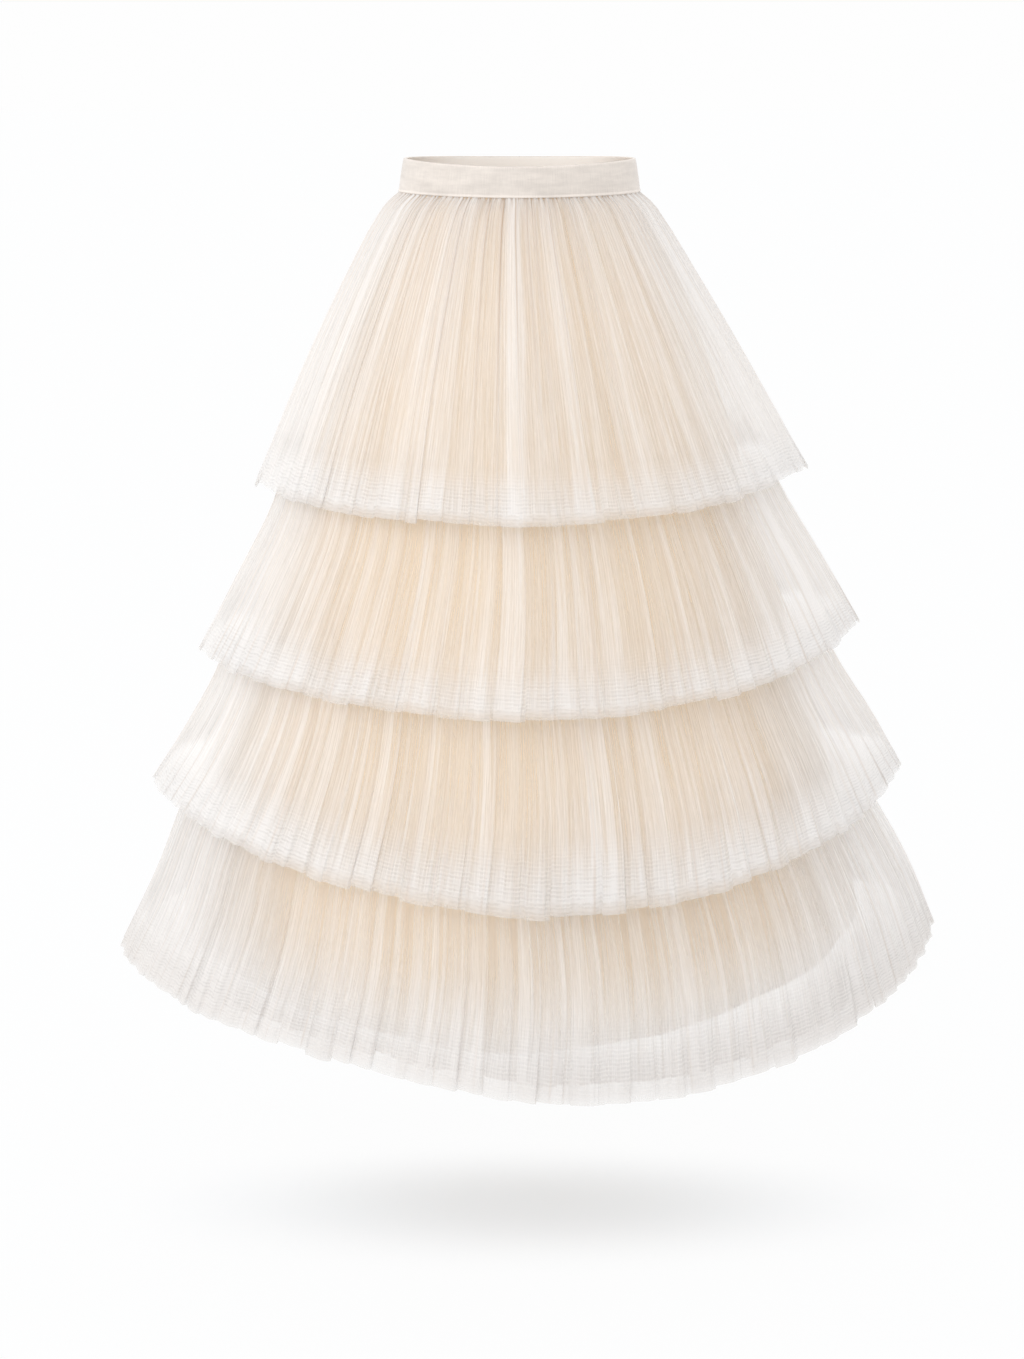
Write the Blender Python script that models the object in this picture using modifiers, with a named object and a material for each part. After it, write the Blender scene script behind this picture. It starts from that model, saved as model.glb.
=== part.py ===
"""A four-tier tulle skirt, filled out to the shape in which it is worn.

Metres, +Z up, -Y to the front, +X to the wearer's left. The origin is the middle of the waist,
level with the waistband's top edge at the side seams. A waistband, a plain A-line lining and four
tiers of pleated net, each tier and the lining cut as a front and a back panel that meet at the
side seams. The top tier hangs from the waistband, and the others are sewn round the lining.
"""

import math
import random
from bisect import bisect_right
from collections import namedtuple

import bmesh
import bpy

# ---- cloth and seams ----
SEAM_GAP = 0.0003  # the clearance that sewn pieces keep
BAND_WALL = 0.003  # folded satin over its interfacing
LINING_WALL = 0.0011
NET_WALL = 0.0011  # the layers of net of one tier, lying together
NET_WALL_LEVEL = 0.0012  # the same, measured level at a head, where the net slants out

# ---- outline ----
BAND_HEIGHT = 0.035
BAND_DIP = 0.004  # how far the band's top edge dips at the middle of the front and the back
WAIST_DEPTH_RATIO = 0.75  # half depth over half width, at the waist
SKIRT_DEPTH_RATIO = 0.84  # the same from the hips down
ROUND_FROM = 0.34  # the drop at which the skirt has its lower ratio
OVAL_POWER = 1.75  # 2 is an ellipse; less draws the oval in towards its side seams
ARC_STEPS = 720  # steps of angle in which half an oval is measured

# ---- columns of points round the pieces ----
BAND_COLUMNS = 64
LINING_COLUMNS = 30  # in one panel
SEAM_SHARE = 0.004  # the flat strip beside a side seam, as a share of the panel's width

# ---- lining ----
LINING_HEM_DIP = 0.036  # how much lower its hem hangs at the middle than at the sides
LINING_FLUTES = 5  # soft waves in one panel's hem
LINING_FLUTE_DEPTH = 0.004
FLUTES_FROM = 0.66  # the drop at which they start, below the lowest tier's seam

# ---- uneven pleats ----
FOLD_SHIFT = 0.32  # how far a fold's edge may stray, as a share of the space between edges
FOLD_SPREAD = 0.30  # how much deeper or shallower than the table a fold may be at the hem
HEM_STEP = 0.0025  # how far a fold's end may stand above or below its hem

# A row for each section. drop is measured down from the origin at the side seams.
BandRow = namedtuple("BandRow", "drop half_width")
BAND_ROWS = (
    BandRow(0.0000, 0.1229),
    BandRow(0.0016, 0.1237),
    BandRow(0.0305, 0.1284),
    BandRow(0.0318, 0.1293),  # the piped ridge along the lower edge
    BandRow(0.0350, 0.1293),
)

LiningRow = namedtuple("LiningRow", "drop half_width")
LINING_ROWS = (
    LiningRow(0.0353, 0.1269),
    LiningRow(0.1500, 0.1830),
    LiningRow(0.3000, 0.2360),
    LiningRow(0.4840, 0.2930),
    LiningRow(0.6800, 0.3540),
    LiningRow(0.8500, 0.3900),
)

# half_width is the outline over the ridges of the folds, fold is half their height, and shift is
# how far the section's middle lies to the wearer's left. A half width of None seats the row on
# the lining. A tier's first row is its head and its last its hem.
Section = namedtuple("Section", "drop half_width fold shift")
# folds are counted in one panel. hem_rise is how much higher the hem is at the wearer's left than
# halfway round, hem_dip how much lower it hangs at the middle of the front and the back than at
# the sides, and hem_wave the height of three soft waves round it.
Tier = namedtuple("Tier", "name folds hem_rise hem_dip hem_wave sections")
TIERS = (
    Tier(
        "tier_1", 22, 0.0078, 0.0026, 0.0017,
        (
            Section(0.0353, None, 0.0005, 0.0000),
            Section(0.0450, 0.1410, 0.0014, 0.0000),
            Section(0.0650, 0.1560, 0.0022, 0.0000),
            Section(0.1100, 0.1830, 0.0030, 0.0015),
            Section(0.2000, 0.2330, 0.0042, 0.0055),
            Section(0.3430, 0.3030, 0.0055, 0.0125),
        ),
    ),
    Tier(
        "tier_2", 24, 0.0120, 0.0090, 0.0047,
        (
            Section(0.2850, None, 0.0012, 0.0000),
            Section(0.3000, 0.2500, 0.0025, 0.0030),
            Section(0.3300, 0.2670, 0.0035, 0.0080),
            Section(0.3700, 0.2850, 0.0042, 0.0120),
            Section(0.4400, 0.3240, 0.0052, 0.0130),
            Section(0.5240, 0.3690, 0.0060, 0.0100),
        ),
    ),
    Tier(
        "tier_3", 26, 0.0040, 0.0430, 0.0055,
        (
            Section(0.4680, None, 0.0012, 0.0000),
            Section(0.4830, 0.3090, 0.0025, 0.0030),
            Section(0.5150, 0.3300, 0.0035, 0.0080),
            Section(0.5600, 0.3520, 0.0045, 0.0115),
            Section(0.6200, 0.3880, 0.0055, 0.0130),
            Section(0.6824, 0.4250, 0.0062, 0.0090),
        ),
    ),
    Tier(
        "tier_4", 28, 0.0000, 0.0293, 0.0139,
        (
            Section(0.6250, None, 0.0012, 0.0000),
            Section(0.6400, 0.3560, 0.0025, 0.0030),
            Section(0.6800, 0.3770, 0.0035, 0.0080),
            Section(0.7200, 0.3980, 0.0045, 0.0105),
            Section(0.7900, 0.4310, 0.0058, 0.0150),
            Section(0.8800, 0.4710, 0.0072, 0.0095),
        ),
    ),
)

# Each panel starts at a side seam and runs anticlockwise, seen from above, to the other one.
Panel = namedtuple("Panel", "name first_angle side")
PANELS = (Panel("back", 0.0, 1), Panel("front", math.pi, -1))

# A column of a pleated panel: its place from seam to seam, whether it is a ridge, 1, a valley,
# -1, or level, 0, how deep its fold is beside the table, and how far its end stands off the hem.
Column = namedtuple("Column", "share level depth step")

IVORY_SATIN = (0.79, 0.74, 0.68, 1.0)
CHAMPAGNE_LINING = (0.80, 0.68, 0.52, 1.0)
IVORY_NET = (0.88, 0.84, 0.78, 1.0)


def clear_scene():
    for old in list(bpy.data.objects):
        bpy.data.objects.remove(old, do_unlink=True)


def make_material(name, colour, roughness):
    material = bpy.data.materials.new(name)
    material.use_nodes = True
    shader = material.node_tree.nodes["Principled BSDF"]
    shader.inputs["Base Color"].default_value = colour
    shader.inputs["Roughness"].default_value = roughness
    shader.inputs["Metallic"].default_value = 0.0
    return material


def depth_ratio(drop):
    """Half depth over half width, easing from the waist's value to the skirt's."""
    down = min(max(drop / ROUND_FROM, 0.0), 1.0)
    ease = down * down * (3.0 - 2.0 * down)
    return WAIST_DEPTH_RATIO + (SKIRT_DEPTH_RATIO - WAIST_DEPTH_RATIO) * ease


def oval_point(angle, half_width, half_depth, outward=0.0):
    """A point on |x / half_width|^n + |y / half_depth|^n = 1, where n is OVAL_POWER, moved out
    from the oval by outward along its normal."""
    across = math.copysign(abs(math.cos(angle)) ** (2.0 / OVAL_POWER), math.cos(angle))
    along = math.copysign(abs(math.sin(angle)) ** (2.0 / OVAL_POWER), math.sin(angle))
    normal_x = math.copysign(abs(across) ** (OVAL_POWER - 1.0), across) / half_width
    normal_y = math.copysign(abs(along) ** (OVAL_POWER - 1.0), along) / half_depth
    length = math.hypot(normal_x, normal_y)
    x = half_width * across + outward * normal_x / length
    y = half_depth * along + outward * normal_y / length
    return x, y


def half_oval_lengths():
    """The length along half an oval of the skirt's lower ratio, after each step of angle."""
    lengths = [0.0]
    before = oval_point(0.0, 1.0, SKIRT_DEPTH_RATIO)
    for step in range(1, ARC_STEPS + 1):
        point = oval_point(math.pi * step / ARC_STEPS, 1.0, SKIRT_DEPTH_RATIO)
        lengths.append(lengths[-1] + math.dist(before, point))
        before = point
    return lengths


LENGTHS = half_oval_lengths()


def angle_at(share, first_angle):
    """The angle after a share of the length of the half oval that starts at first_angle."""
    target = share * LENGTHS[-1]
    step = min(bisect_right(LENGTHS, target), ARC_STEPS) - 1
    part = (target - LENGTHS[step]) / (LENGTHS[step + 1] - LENGTHS[step])
    return first_angle + math.pi * (step + part) / ARC_STEPS


def oval_size(row):
    """Half the width and half the depth of a row of a table."""
    return row.half_width, row.half_width * depth_ratio(row.drop)


def lining_size(drop):
    """Half the lining's width and depth at a drop, straight between the rows of its table."""
    for upper, lower in zip(LINING_ROWS, LINING_ROWS[1:]):
        if drop <= lower.drop:
            break
    share = (drop - upper.drop) / (lower.drop - upper.drop)
    (top_width, top_depth), (width, depth) = oval_size(upper), oval_size(lower)
    return top_width + (width - top_width) * share, top_depth + (depth - top_depth) * share


def sheet_object(name, rows, closed, wall, material, collection):
    """A wall of even thickness behind rows of points that run anticlockwise, from the top down."""
    grid = bmesh.new()
    verts = [[grid.verts.new(point) for point in row] for row in rows]
    columns = len(rows[0])
    spans = columns if closed else columns - 1
    for upper, lower in zip(verts, verts[1:]):
        for left in range(spans):
            right = (left + 1) % columns
            grid.faces.new((upper[left], lower[left], lower[right], upper[right]))
    mesh = bpy.data.meshes.new(name)
    grid.to_mesh(mesh)
    grid.free()
    mesh.materials.append(material)
    mesh.shade_smooth()
    mesh.set_sharp_from_angle(angle=math.radians(30))
    piece = bpy.data.objects.new(name, mesh)
    collection.objects.link(piece)
    solidify = piece.modifiers.new("wall", "SOLIDIFY")
    solidify.thickness = wall
    solidify.offset = -1.0
    solidify.use_even_offset = True
    return piece


def make_waistband(collection, material):
    """A closed band, wider below, whose top edge dips at the middle of the front and the back."""
    rows = []
    for row in BAND_ROWS:
        half_width, half_depth = oval_size(row)
        height = 1.0 - row.drop / BAND_HEIGHT
        ring = []
        for panel in PANELS:
            for column in range(BAND_COLUMNS // 2):
                angle = angle_at(2.0 * column / BAND_COLUMNS, panel.first_angle)
                x, y = oval_point(angle, half_width, half_depth)
                dip = BAND_DIP * height * math.sin(angle) ** 2
                ring.append((x, y, -row.drop - dip))
        rows.append(ring)
    sheet_object("waistband", rows, True, BAND_WALL, material, collection)


def make_lining_panel(panel, collection, material):
    """One half of the A-line lining, with soft flutes towards its hem."""
    hem_drop = LINING_ROWS[-1].drop
    shares = [column / LINING_COLUMNS for column in range(LINING_COLUMNS + 1)]
    shares[1:1] = [SEAM_SHARE]
    shares[-1:-1] = [1.0 - SEAM_SHARE]
    rows = []
    for row in LINING_ROWS:
        half_width, half_depth = oval_size(row)
        flare = max(row.drop - FLUTES_FROM, 0.0) / (hem_drop - FLUTES_FROM)
        line = []
        for share in shares:
            angle = angle_at(share, panel.first_angle)
            flute = LINING_FLUTE_DEPTH * flare * math.cos(math.tau * LINING_FLUTES * share)
            x, y = oval_point(angle, half_width, half_depth, flute)
            dip = LINING_HEM_DIP * flare * math.sin(angle) ** 2
            line.append((x, y + panel.side * SEAM_GAP / 2, -row.drop - dip))
        rows.append(line)
    name = "lining_" + panel.name
    sheet_object(name, rows, False, LINING_WALL, material, collection)


def fold_columns(folds, seed):
    """The columns of one pleated panel: a flat strip at each seam, uneven folds between them."""
    chance = random.Random(seed)
    edges = 2 * folds
    columns = [Column(0.0, 0, 1.0, 0.0), Column(SEAM_SHARE, 0, 1.0, 0.0)]
    for edge in range(edges):
        stray = FOLD_SHIFT * chance.uniform(-0.5, 0.5)
        level = 1 if edge % 2 else -1
        depth = 1.0 + FOLD_SPREAD * chance.uniform(-1.0, 1.0)
        step = HEM_STEP * chance.uniform(-1.0, 1.0)
        columns.append(Column((edge + 0.5 + stray) / edges, level, depth, step))
    columns.append(Column(1.0 - SEAM_SHARE, 0, 1.0, 0.0))
    columns.append(Column(1.0, 0, 1.0, 0.0))
    return columns


def make_tier_panel(tier, panel, collection, material):
    """Half a tier: knife-edged folds that fan out from the head and deepen towards the hem."""
    head = tier.sections[0]
    hem = tier.sections[-1]
    columns = fold_columns(tier.folds, tier.name + panel.name)
    rows = []
    for section in tier.sections:
        fall = (section.drop - head.drop) / (hem.drop - head.drop)
        seated = section.half_width is None
        half_width, half_depth = lining_size(section.drop) if seated else oval_size(section)
        stand = SEAM_GAP + NET_WALL_LEVEL + 2.0 * section.fold if seated else 0.0
        line = []
        for column in columns:
            angle = angle_at(column.share, panel.first_angle)
            depth = section.fold * (1.0 + (column.depth - 1.0) * fall)
            outward = stand + (column.level - 1) * depth
            x, y = oval_point(angle, half_width, half_depth, outward)
            rise = tier.hem_rise * math.cos(angle) + tier.hem_wave * math.cos(3.0 * angle)
            rise -= tier.hem_dip * math.sin(angle) ** 2
            step = column.step if section is hem else 0.0
            z = rise * fall * fall + step - section.drop
            line.append((x + section.shift, y + panel.side * SEAM_GAP / 2, z))
        rows.append(line)
    name = tier.name + "_" + panel.name
    sheet_object(name, rows, False, NET_WALL, material, collection)


def main():
    clear_scene()
    collection = bpy.data.collections.new("tulle_skirt")
    bpy.context.scene.collection.children.link(collection)
    satin = make_material("ivory_satin", IVORY_SATIN, 0.45)
    lining = make_material("champagne_lining", CHAMPAGNE_LINING, 0.6)
    net = make_material("ivory_net", IVORY_NET, 0.8)
    make_waistband(collection, satin)
    for panel in PANELS:
        make_lining_panel(panel, collection, lining)
        for tier in TIERS:
            make_tier_panel(tier, panel, collection, net)


main()
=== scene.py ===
"""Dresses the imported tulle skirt: a satin waistband, a champagne lining and four tiers of pleated
net, the lowest of two layers, with the floor, the lights and the camera.

Metres, +Z up, -Y to the front. The origin is the middle of the waist.
"""

import math
from collections import namedtuple

import bpy
import numpy as np
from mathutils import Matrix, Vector


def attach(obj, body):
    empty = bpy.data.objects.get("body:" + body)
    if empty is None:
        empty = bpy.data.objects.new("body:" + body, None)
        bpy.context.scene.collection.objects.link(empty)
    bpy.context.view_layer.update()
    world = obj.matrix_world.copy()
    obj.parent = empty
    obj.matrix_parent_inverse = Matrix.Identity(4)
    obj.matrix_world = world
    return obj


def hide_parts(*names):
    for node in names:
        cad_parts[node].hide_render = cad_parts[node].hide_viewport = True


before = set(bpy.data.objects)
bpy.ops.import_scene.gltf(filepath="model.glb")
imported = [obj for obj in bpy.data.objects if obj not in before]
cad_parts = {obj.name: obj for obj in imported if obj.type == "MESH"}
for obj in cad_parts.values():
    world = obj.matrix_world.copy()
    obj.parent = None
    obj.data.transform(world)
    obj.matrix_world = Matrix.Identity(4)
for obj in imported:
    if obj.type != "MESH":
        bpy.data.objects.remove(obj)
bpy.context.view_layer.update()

bl_info = {
    "name": "Tulle Skirt",
    "version": (1, 0, 0),
    "blender": (4, 5, 0),
    "location": "View3D > Sidebar > Skirt",
    "description": "Builds a tulle skirt of four pleated tiers, with its floor, lights and camera",
    "category": "Add Mesh",
}

BODY = "root"

# ---- the outline, shared by all of the pieces ----
WAIST_DEPTH_RATIO = 0.75  # half depth over half width, at the waist
SKIRT_DEPTH_RATIO = 0.84  # the same from the hips down
ROUND_FROM = 0.34  # the drop at which the skirt has its lower ratio
OVAL_POWER = 1.75  # 2 is an ellipse; less draws the oval in towards its side seams
ARC_STEPS = 1440
SHARP_ANGLE = math.radians(80.0)  # only the turn of a hem is sharper than this
DENSE = 16000  # places round a row at which the length of its folds is added up

# ---- waistband ----
BAND_COLUMNS = 480
BAND_HEIGHT = 0.035
BAND_DIP = 0.004  # how far the top edge dips at the middle of the front and the back
BAND_TOP = 0.1234  # half width of the band's outer face at its top edge
BAND_SLOPE = 0.1629  # how much the half width grows for each metre down
# Once round the band's section, clockwise from the inner corner of its top edge: how far each
# point stands out from the outer face, and how far down it is, in millimetres.
BAND_SECTION = (
    (-2.7, 0.5), (-2.1, 0.12), (-1.5, 0.0), (-0.9, 0.1), (-0.35, 0.5), (-0.05, 1.2), (0.0, 2.0),
    (0.12, 5.0), (0.22, 9.0), (0.26, 14.0), (0.24, 19.0), (0.16, 24.0), (0.05, 28.0),
    (-0.02, 30.6), (-0.16, 31.3), (-0.18, 31.7), (0.02, 32.1), (0.34, 32.6), (0.46, 33.2),
    (0.44, 33.8), (0.24, 34.4), (-0.1, 34.8), (-0.7, 35.0), (-2.2, 35.0), (-2.8, 34.6),
    (-3.0, 33.6), (-3.0, 26.0), (-3.0, 18.0), (-3.0, 10.0), (-3.0, 2.0), (-2.95, 1.1),
)
# Down the inside, round the bottom and up the outside, in metres along the section: where the
# paler facing ends, and the middles of the bead and of the fold at the top edge.
BAND_FACING = 0.0325
BAND_BEAD = 0.0378
BAND_FOLD = 0.0712
FACING_COLOUR = (0.98, 0.96, 0.93)
PAINTED_FACING_SHADE = (0.42, 0.34, 0.27)  # painted shade on the facing deep in the corners of the waist

# ---- lining ----
LINING_COLUMNS = 480
LINING_STEPS = 40  # rows of its mesh
# The drop and the half width of the lining's outline.
LINING_ROWS = (
    (0.034, 0.1269), (0.0353, 0.1269), (0.15, 0.183), (0.3, 0.236), (0.484, 0.293),
    (0.68, 0.354), (0.85, 0.39),
)
# The large and the small flutes: how many, and how deep.
FLUTES = (12, 0.0038)
SMALL_FLUTES = (31, 0.0012)
FLUTES_IN = 0.002  # how far inside the outline the middle of the flutes lies
LINING_HEM_DIP = 0.036  # how much lower its hem hangs at the middle than at the sides
LINING_DIP_FROM = 0.66  # the drop from which its rows dip
FLUTES_FROM = 0.30  # the drop at which its soft flutes start
LINING_SIDES_FROM = 0.70  # how far out to a side it starts to pale
LINING_SIDE_PALE = 0.6  # and how pale it gets there, up to 1
LINING_STITCH = 0.022  # from the hem up to its row of stitches
LINING_PALE = (0.86, 0.81, 0.75)

# ---- tiers ----
# folds are counted all round. hem_rise is how much higher the hem is at the wearer's left than
# halfway round, hem_dip how much lower it hangs at the middle of the front and the back than at
# the sides, and hem_wave the height of three soft waves round it.
# head_veil and hem_veil are how much thread shows at the head and the hem, against the tier's
# own middle, and veil_turn the power of the way down by which one becomes the other. strands
# are the narrow strands for each fold, and strand_veil the thread that the dense ones add.
# hem_soft is how softly the hem band starts, against the depth of the turned-up hem.
# Each section holds its drop, measured down from the origin at the side seams, the half width of
# the outline over the ridges, half the height of the folds, and how far its middle lies to the
# wearer's left.
Tier = namedtuple(
    "Tier",
    "name folds hem_rise hem_dip hem_wave head_veil hem_veil sections veil_turn strands"
    " strand_veil hem_soft layers",
    defaults=(1.0, 4.2, 0.45, 0.55, 1),
)
TIERS = (
    Tier(
        "tier_1", folds=60, hem_rise=0.0078, hem_dip=0.0026, hem_wave=0.0017,
        head_veil=1.02, hem_veil=0.96, strands=2.8, strand_veil=0.34,
        sections=(
            (0.0336, 0.1284, 0.0004, 0.0), (0.0353, 0.1292, 0.001, 0.0),
            (0.0395, 0.1345, 0.0014, 0.0), (0.045, 0.141, 0.0018, 0.0),
            (0.065, 0.156, 0.0024, 0.0), (0.11, 0.183, 0.0032, 0.0015),
            (0.2, 0.233, 0.0042, 0.0055), (0.343, 0.303, 0.0055, 0.0125),
        ),
    ),
    Tier(
        "tier_2", folds=72, hem_rise=0.012, hem_dip=0.009, hem_wave=0.0047,
        head_veil=0.4, hem_veil=0.96,
        sections=(
            (0.285, 0.234, 0.0012, 0.0), (0.3, 0.25, 0.0025, 0.003),
            (0.33, 0.267, 0.0035, 0.008), (0.37, 0.285, 0.0042, 0.012),
            (0.44, 0.324, 0.0052, 0.013), (0.524, 0.369, 0.006, 0.01),
        ),
    ),
    Tier(
        "tier_3", folds=84, hem_rise=0.004, hem_dip=0.043, hem_wave=0.0055,
        head_veil=0.42, hem_veil=1.02,
        sections=(
            (0.468, 0.292, 0.0012, 0.0), (0.483, 0.309, 0.0025, 0.003),
            (0.515, 0.33, 0.0035, 0.008), (0.56, 0.352, 0.0045, 0.0115),
            (0.62, 0.388, 0.0055, 0.013), (0.6824, 0.425, 0.0062, 0.009),
        ),
    ),
    Tier(
        "tier_4", folds=94, hem_rise=0.0, hem_dip=0.0293, hem_wave=0.0139,
        head_veil=0.08, hem_veil=1.08, veil_turn=1.8, hem_soft=1.2, layers=2,
        sections=(
            (0.625, 0.341, 0.0012, 0.0), (0.64, 0.356, 0.0025, 0.003),
            (0.68, 0.377, 0.0035, 0.008), (0.72, 0.398, 0.0045, 0.0105),
            (0.79, 0.431, 0.0058, 0.015), (0.88, 0.471, 0.0072, 0.0095),
        ),
    ),
)
# The layers of a tier: how many times the height of its folds each lies inside the outline, how
# much shorter it is, its columns against an outer layer's, and what it adds to the seeds.
Layer = namedtuple("Layer", "suffix inset shorter columns seed")
LAYERS = (Layer("net", 0.0, 0.0, 1.0, 0), Layer("under_net", 1.0, 0.010, 0.8, 50))
# How far down a tier each row of its mesh lies, as a share of its height.
ROW_SHARES = (
    0.0, 0.008, 0.02, 0.036, 0.06, 0.095, 0.14, 0.2, 0.27, 0.35, 0.44, 0.54, 0.64, 0.74, 0.83,
    0.9, 0.955, 1.0,
)
LENGTH_ROW = ROW_SHARES.index(0.83)  # the row along which columns stand evenly apart
HEM_RISES = (0.02, 0.35, 0.7, 1.0)  # rows of the turned-up hem, as shares of its depth
HEM_INSIDE = 0.0011  # how far inside the net its turned-up hem lies
LEAN = 0.19  # how far a fold leans over sideways, as a share of the space between folds
DEPTH = 0.42  # depth of the cloth's folds, as a share of the outline's
# Waves that move the folds round on their way down: how many, and how far, as a share of the
# way round.
WANDER = (17, 0.0007)
WANDER_LOW = (29, 0.0008)
# Middle and fine waves for each fold, and how much the folds and these two add to the height
# where the net hangs free, and where its head is gathered.
MIDDLE_WAVES = 2.4
FINE_WAVES = 5.2
FREE_PARTS = (0.70, 0.13, 0.03)
GATHERED_PARTS = (0.40, 0.63, 0.05)
GATHERED_TO = 0.22  # how far down the tier that ends
CREASES = 1.4  # narrow creases between pleats, for each fold
CREASE_WIDTH = 0.0013  # half their width
GATHERS = 2.4  # nips between the gathers under a seam, for each fold
GATHER_WIDTH = 0.0013  # half their width
GATHER_DEPTH = 0.0020
GATHER_FADE = 0.018  # the metres in which they fade
HEM_STEP = 0.0030  # how much higher or lower than the hem a fold may end
# How far out and down each hem is drawn to a point at its side seams, and how far it is lifted
# beside the point.
TIP_OUT = 0.003
TIP_DOWN = 0.022
TIP_LIFT = 0.020

# ---- how much thread shows ----
# In tier 1 and in the tiers below it, by the share of the way out to a side. The net is dense
# where no lining lies behind it.
SIDE_PLACES = (0.0, 0.40, 0.67, 0.82, 0.90, 1.0)
TOP_SIDE_VEILS = (1.10, 1.04, 1.08, 1.32, 1.66, 1.62)
SIDE_VEILS = (1.06, 1.04, 1.12, 1.54, 1.98, 1.62)
SIDE_CALM = 0.55  # how much more even the net is at the sides
MEAN_STREAK = 1.1  # the middle of the uneven density, and what makes it uneven:
WIDE_PART = 0.25
PLEAT_PART = 0.35
CREST_PART = 0.2
STRANDS_FROM = 0.64  # of the strands' random densities, what starts to show
STRANDS_OVER = 0.14  # and in how much more it shows in full
CREASE_VEIL = 1.4  # how much denser creases are
LONG_CREASE = 0.7  # how far down tier 1 the painted shade in its creases reaches
FAINT_CREASE = 0.35  # how dark the painted shade in them is in the tiers below it
LOW_SHADE = 0.18  # painted shade: how much darker tier 4 is towards its hem
HEAD_FADE = 0.28  # how far down the tiers below tier 1 their thread starts to show in full
SEAM_VEIL = 0.6  # thread added under the seam at the head
SIDE_SEAM_VEIL = 0.7  # and at the side seams
SIDE_SEAM_WIDTH = 0.0018  # as a share of half the way round
HEM_FULL = 0.65  # how far up the turned-up hem its band is full
HEM_BAND_VEIL = 0.6  # how much denser the band is

# ---- the net's material ----
STREAKS_DOWN = 5.0  # streaks in a metre down the cloth
STREAK_LOW = (0.34, 0.66)  # of the noise, and the thread it stands for, against the mean
STREAK_HIGH = (0.70, 1.44)
STREAK_FADE = (-1.35, 1.5)  # how strong the streaks are: the first times veil, plus the second
GRID_WANDER = 0.004  # how far the rows of the grid wander with the streaks
GRID_WIDTH = 0.35  # half the width of a row, as a share of the space between rows
GRID_PATCHES = (75.0, 240.0)  # patches in which the grid shows, in a metre across and down
GRID_GAPS = -0.12  # how the thread between the rows changes, as a share
GRID_ROWS = 0.11  # thread added on them
HEM_RAGGED = (0.016, 0.006)  # metres of ragged edge, from the streaks and the patches
HEM_GREY = (0.10, 0.33)  # how much greyer the net is between the rows, and all over the band
GREY = 0.80  # the net's darker tone, against its own colour
THROUGH = 0.25  # the share of its light that a thread lets through

# ---- stage ----
WHITE = (1.0, 1.0, 1.0, 1.0)
SEEN = 0.99  # how bright the floor and the sky look to the camera
FLOOR_LIGHT = 0.85  # how brightly the floor lights the skirt
FLOOR_HALF = 30.0  # half the floor's side
SKY_SHARES = (0.93, 0.6)  # the sky's light from all round, and what it adds at the sides
# The oval under the skirt in which the floor takes its shadow: its half axes, how far forward
# its middle is, and how much the floor is lit paper rather than a glow there and beyond it.
PATCH_AXES = (0.61, 0.18)
PATCH_FORWARD = 0.012
PATCH_PAPER = (0.70, 0.04)
PAPER_COLOUR = (0.86, 0.91, 0.96, 1.0)


# ---- shapes ----


def depth_ratio(drop):
    """Half depth over half width: a smooth step from the waist's value to the skirt's."""
    down = np.clip(np.asarray(drop) / ROUND_FROM, 0.0, 1.0)
    return WAIST_DEPTH_RATIO + (SKIRT_DEPTH_RATIO - WAIST_DEPTH_RATIO) * down**2 * (3 - 2 * down)


def oval(angle, half_width, half_depth):
    """Points x, y of |x / half_width|^n + |y / half_depth|^n = 1, and the outward normal there:
    the gradient of the left side, made one long."""
    cos, sin = np.cos(angle), np.sin(angle)
    across = np.sign(cos) * np.abs(cos) ** (2.0 / OVAL_POWER)
    along = np.sign(sin) * np.abs(sin) ** (2.0 / OVAL_POWER)
    normal_x = np.sign(across) * np.abs(across) ** (OVAL_POWER - 1.0) / half_width
    normal_y = np.sign(along) * np.abs(along) ** (OVAL_POWER - 1.0) / half_depth
    length = np.hypot(normal_x, normal_y)
    return half_width * across, half_depth * along, normal_x / length, normal_y / length


def arc_table():
    """The length along an oval of the skirt's lower ratio and half width 1, at even angles."""
    angle = np.linspace(0.0, math.tau, ARC_STEPS + 1)
    x, y, _, _ = oval(angle, 1.0, SKIRT_DEPTH_RATIO)
    steps = np.hypot(np.diff(x), np.diff(y))
    return angle, np.concatenate([[0.0], np.cumsum(steps)])


ARC_ANGLES, ARC_LENGTHS = arc_table()
ROUND_LENGTH = float(ARC_LENGTHS[-1])  # once round, for a half width of 1


def angle_at(share):
    """The angle after a share of the way round, by length; whole turns are kept."""
    turns = np.floor(share)
    return np.interp((share - turns) * ROUND_LENGTH, ARC_LENGTHS, ARC_ANGLES) + turns * math.tau


def smooth_rows(at, places, values):
    """A cubic through the values at the places, with the slope at each place that of the line
    between its two neighbours."""
    places, values = np.asarray(places, float), np.asarray(values, float)
    slopes = np.gradient(values, places)
    index = np.clip(np.searchsorted(places, at, side="right") - 1, 0, len(places) - 2)
    gap = places[index + 1] - places[index]
    part = np.clip((at - places[index]) / gap, 0.0, 1.0)
    square, cube = part**2, part**3
    return (
        values[index] * (2 * cube - 3 * square + 1)
        + slopes[index] * gap * (cube - 2 * square + part)
        + values[index + 1] * (3 * square - 2 * cube)
        + slopes[index + 1] * gap * (cube - square)
    )


def cosine_step(first, second, part):
    """From the first value to the second along half a cosine."""
    return first + (second - first) * (0.5 - 0.5 * np.cos(np.pi * part))


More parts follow.
